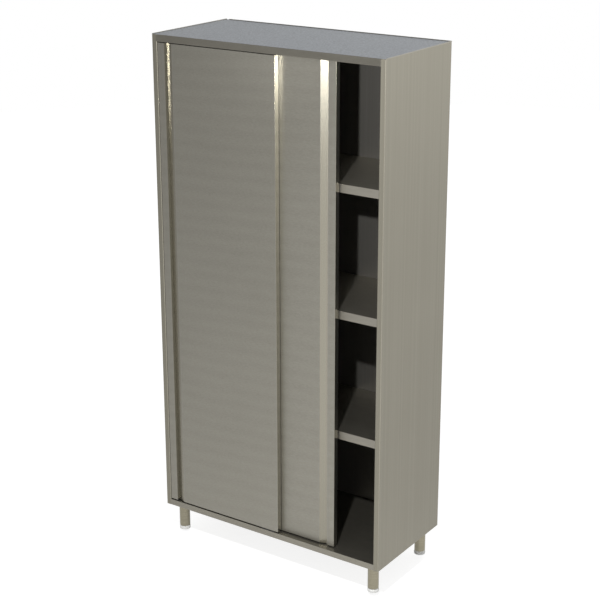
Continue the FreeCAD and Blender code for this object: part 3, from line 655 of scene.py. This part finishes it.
# %% Model the four ground welds
BEND = 3 * MM
JAMB = 22 * MM
front_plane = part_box("left_side_panel")[0].y
half_width = cad_high.x
rails = {
    "lower": (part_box("bottom_panel")[0].z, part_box("bottom_panel")[1].z, FLOOR_STEEL),
    "upper": (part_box("top_panel")[0].z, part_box("top_panel")[1].z - BEND, LID_STEEL),
}
for level, (under, over, finish) in rails.items():
    for side, towards_middle in (("left", 1), ("right", -1)):
        outer = -towards_middle * (half_width - JAMB + BEND)
        select_only()
        bpy.ops.mesh.primitive_cube_add(
            size=1, scale=(BEND, BEND, over - under),
            location=(outer + towards_middle * BEND / 2, front_plane + BEND / 2, (under + over) / 2))
        filling = bpy.context.object
        filling.name = filling.data.name = f"{level}_{side}_ground_weld"
        bpy.ops.object.transform_apply(location=True, rotation=True, scale=True)
        pick(filling, "FACE", lambda face: True)
        bpy.ops.mesh.bisect(plane_co=(outer, front_plane, under), plane_no=(towards_middle, -1, 0),
                            use_fill=True, clear_inner=True)
        set_down(filling, finish, "casing_steel", "root")
        print(filling.name, len(filling.data.polygons), "faces")

# %% [markdown]
# ## The rim of the lid
#
# A low rim stands along the back and both ends of the lid, so that nothing laid up there slides
# off. Seen from in front it is the thin dark line that closes the lid, because it faces its own
# reflection. It is a strip of sheet set on edge, and a notch is left in it beside the rear left
# corner. Each strip starts as a block, is bevelled along its upper edges, and sinks into the lid by
# a hair so that no light passes under it.

# %% Model the rim of the lid
RIM_THICK = 1.5 * MM
RIM_HIGH = 2.2 * MM
RIM_SUNK = 0.2 * MM
RIM_BEVEL = 0.4 * MM
NOTCH_START, NOTCH_END = 5 * MM, 17 * MM
lid_low, lid_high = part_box("top_panel")
corner_end, rear_start = lid_low.x + NOTCH_START, lid_low.x + NOTCH_END
inner_left, inner_right = lid_low.x + RIM_THICK, lid_high.x - RIM_THICK
side_start, rear_face = lid_low.y + BEND, lid_high.y - RIM_THICK
rim_strips = {
    "left_lid_rim": (lid_low.x, side_start, inner_left, lid_high.y),
    "right_lid_rim": (inner_right, side_start, lid_high.x, lid_high.y),
    "rear_corner_lid_rim": (inner_left, rear_face, corner_end, lid_high.y),
    "rear_lid_rim": (rear_start, rear_face, inner_right, lid_high.y),
}
for name, (x0, y0, x1, y1) in rim_strips.items():
    select_only()
    bpy.ops.mesh.primitive_cube_add(
        size=1, scale=(x1 - x0, y1 - y0, RIM_HIGH + RIM_SUNK),
        location=((x0 + x1) / 2, (y0 + y1) / 2, lid_high.z + (RIM_HIGH - RIM_SUNK) / 2))
    strip = bpy.context.object
    strip.name = strip.data.name = name
    bpy.ops.object.transform_apply(location=True, rotation=True, scale=True)
    pick(strip, "FACE", lambda face: face.normal.z > 0.9)
    bpy.ops.mesh.bevel(offset=RIM_BEVEL, segments=2)
    set_down(strip, LID_STEEL, "casing_steel", "root")
    print(name, f"{max(x1 - x0, y1 - y0) / MM:.0f} mm long,", len(strip.data.polygons), "faces")

# %% [markdown]
# ## The studio
#
# The cabinet stands on a white floor in a white room. One small lamp, a step and a half in front of
# it and just above its lid, draws the sharp shadows of the door and the shelves inside. All the
# rest of the light is soft. What the camera sees behind the cabinet is plain white. The metal
# reflects a white room too, but one that is dimmer towards the front left and brighter towards the
# rear right.

# %% Light seen by camera and metal
SOFT_LIGHT = 0.7
DIM_END = Vector((-0.88, -0.475, 0)).normalized()
MIDDLE_LEVEL = 0.86
LEVEL_SWING = 0.58


def camera_and_metal_rays(tree):
    """Return a socket that is 1 for camera rays, and one that is 1 for glossy and transmission rays."""
    path = add(tree, "ShaderNodeLightPath").outputs
    metal = math_node(tree, "MAXIMUM", path["Is Glossy Ray"], path["Is Transmission Ray"])
    return path["Is Camera Ray"], metal


world = bpy.data.worlds.new("white room")
bpy.context.scene.world = world
world.use_nodes = True
tree = world.node_tree
camera_ray, metal_ray = camera_and_metal_rays(tree)
direction = add(tree, "ShaderNodeTexCoord").outputs["Generated"]
swing = math_node(tree, "MULTIPLY", dot(tree, direction, DIM_END), -LEVEL_SWING)
metal_level = math_node(tree, "MULTIPLY", math_node(tree, "ADD", swing, MIDDLE_LEVEL), metal_ray)
seen = math_node(tree, "ADD", camera_ray, metal_ray)
soft = math_node(tree, "MULTIPLY", math_node(tree, "SUBTRACT", 1.0, seen, clamp=True), SOFT_LIGHT)
strength = math_node(tree, "ADD", math_node(tree, "ADD", camera_ray, metal_level), soft)
feed(tree, tree.nodes["Background"], {"Color": WHITE, "Strength": strength})
print("room level for metal:", MIDDLE_LEVEL - LEVEL_SWING, "to", MIDDLE_LEVEL + LEVEL_SWING)

# %% [markdown]
# ## The floor
#
# The floor is a wide round disc. It lies as low as the feet can be screwed out, so that a foot at
# its limit stays in sight. It is lit like any matt floor, and it also gives off its own white, so
# that only a soft shadow of the cabinet is left on it. In the metal its glow is a little stronger
# towards the right, because that is what gives the doors and the side their slow change of tone
# from edge to edge.

# %% The studio floor
FLOOR_RADIUS, FLOOR_CORNERS = 9.0, 96
FOOT_TRAVEL = 20 * MM
PAINT_TONE = (0.4, 0.4, 0.4, 1)
CAMERA_GLOW = 0.8
METAL_GLOW = 0.5
GLOW_SWING = 0.25
GLOW_REACH = 2.0
TO_THE_RIGHT = Vector((0.91, -0.41, 0))

select_only()
bpy.ops.mesh.primitive_circle_add(vertices=FLOOR_CORNERS, radius=FLOOR_RADIUS, fill_type="NGON",
                                  location=(0, 0, -FOOT_TRAVEL))
studio_floor = bpy.context.object
studio_floor.name = "studio_floor"

paint = bpy.data.materials.new("floor paint")
paint.use_nodes = True
tree = paint.node_tree
tree.nodes.remove(tree.nodes["Principled BSDF"])
camera_ray, metal_ray = camera_and_metal_rays(tree)
place = add(tree, "ShaderNodeTexCoord").outputs["Object"]
slope = map_range(tree, dot(tree, place, TO_THE_RIGHT), -GLOW_REACH, GLOW_REACH,
                  METAL_GLOW - GLOW_SWING, METAL_GLOW + GLOW_SWING)
strength = math_node(tree, "ADD", math_node(tree, "MULTIPLY", camera_ray, CAMERA_GLOW),
                     math_node(tree, "MULTIPLY", slope, metal_ray))
matt = add(tree, "ShaderNodeBsdfDiffuse", {"Color": PAINT_TONE}).outputs[0]
glow = add(tree, "ShaderNodeEmission", {"Color": WHITE, "Strength": strength}).outputs[0]
both = add(tree, "ShaderNodeAddShader", {0: matt, 1: glow}).outputs[0]
feed(tree, tree.nodes["Material Output"], {"Surface": both})
studio_floor.data.materials.append(paint)
print("studio floor radius", FLOOR_RADIUS, "m")

# %% [markdown]
# ## The lamp
#
# The one lamp is small, so that its shadows are crisp. Its place was found from the shadows that
# the shelves and the door throw on the back sheet. It doesn't light the lid, which would glare
# white from behind, since the lamp stands low over it.

# %% The lamp
LAMP_PLACE = (0.89, -1.60, 2.25)
LAMP_POWER, LAMP_RADIUS = 155, 0.025

bpy.ops.object.light_add(type="POINT", location=LAMP_PLACE)
lamp = bpy.context.object
lamp.name = "small lamp"
lamp.data.energy = LAMP_POWER
lamp.data.shadow_soft_size = LAMP_RADIUS
lamp.visible_camera = False
unlit = bpy.data.collections.new("not lit by the lamp")
unlit.objects.link(nodes["top_panel"])
unlit.collection_objects[0].light_linking.link_state = "EXCLUDE"
lamp.light_linking.receiver_collection = unlit
print(lamp.name, lamp.data.energy, "W")

# %% [markdown]
# ## The lights of the folds
#
# Folded metal throws light back from its corners as a pair of mirrors does. One soft panel and two
# soft spots stand in front of the doors, lower than the lamp, where the folds mirror them into the
# camera: the panel for the slope of the rear door's finger pull, a spot for the corner where the
# front door's edge meets the rear door, and a spot for the front door's finger pull. They light the
# doors alone, and only near the top.

# %% The soft lights of the folds
PANEL_WIDE, PANEL_HIGH = 0.30, 0.40
SPOT_RADIUS = 0.08
FOLD_LIGHTS = (
    # Name, place, aim, watts, angle of the cone or 0 for the panel, and the pieces that it lights.
    ("slope panel", (0.46, -2.03, 1.86), (0.245, -0.19, 1.86), 5.2, 0, ("rear_door_skin",)),
    ("corner spot", (1.11, -1.73, 1.62), (0.048, -0.2, 2.05), 164.0, 16,
     ("rear_door_skin", "front_door_skin")),
    ("pull spot", (1.38, -0.74, 1.66), (-0.45, -0.21, 2.00), 70.0, 28, ("front_door_skin",)),
)
for name, spot, aim, power, cone, lit_pieces in FOLD_LIGHTS:
    bpy.ops.object.light_add(type="SPOT" if cone else "AREA", location=spot)
    light = bpy.context.object
    light.name = name
    light.data.energy = power
    if cone:
        light.data.spot_size = math.radians(cone)
        light.data.spot_blend, light.data.shadow_soft_size = 1.0, SPOT_RADIUS
    else:
        light.data.shape = "RECTANGLE"
        light.data.size, light.data.size_y = PANEL_WIDE, PANEL_HIGH
    light.rotation_euler = (Vector(aim) - Vector(spot)).to_track_quat("-Z", "Y").to_euler()
    light.visible_camera = False
    receivers = bpy.data.collections.new(f"lit by the {name}")
    for piece in lit_pieces:
        receivers.objects.link(nodes[piece])
    light.light_linking.receiver_collection = receivers
    print(name, power, "W, lights", *lit_pieces)

# %% [markdown]
# ## The camera
#
# The camera stands to the right of the cabinet and a little above it, as the photographer's did. It
# turns by an azimuth and an elevation and is rolled by a hair. A small shift moves its view down,
# which sets the cabinet higher in the picture.

# %% Place the camera
AZIMUTH, ELEVATION, ROLL = math.radians(34.339), math.radians(17.918), math.radians(-0.122)
CAMERA_PLACE = Vector((2.9795, -4.3601, 2.8326))
LENS_MM, SENSOR_MM, SHIFT = 88.047, 36, -0.045

level_right = Vector((math.cos(AZIMUTH), math.sin(AZIMUTH), 0))
level_ahead = Vector((-math.sin(AZIMUTH), math.cos(AZIMUTH), 0))
ahead = level_ahead * math.cos(ELEVATION) - Vector((0, 0, math.sin(ELEVATION)))
level_up = level_right.cross(ahead)
right = level_right * math.cos(ROLL) + level_up * math.sin(ROLL)
up = level_up * math.cos(ROLL) - level_right * math.sin(ROLL)
turn = Matrix((right, up, -ahead)).transposed().to_4x4()
camera_data = bpy.data.cameras.new("camera")
camera_data.lens = LENS_MM
camera_data.sensor_width = SENSOR_MM
camera_data.shift_y = SHIFT
camera = bpy.data.objects.new("camera", camera_data)
bpy.context.scene.collection.objects.link(camera)
camera.matrix_world = Matrix.Translation(CAMERA_PLACE) @ turn
bpy.context.scene.camera = camera
bpy.context.scene.view_settings.view_transform = "Standard"
print("camera", [round(v, 3) for v in camera.location], "lens", camera_data.lens)
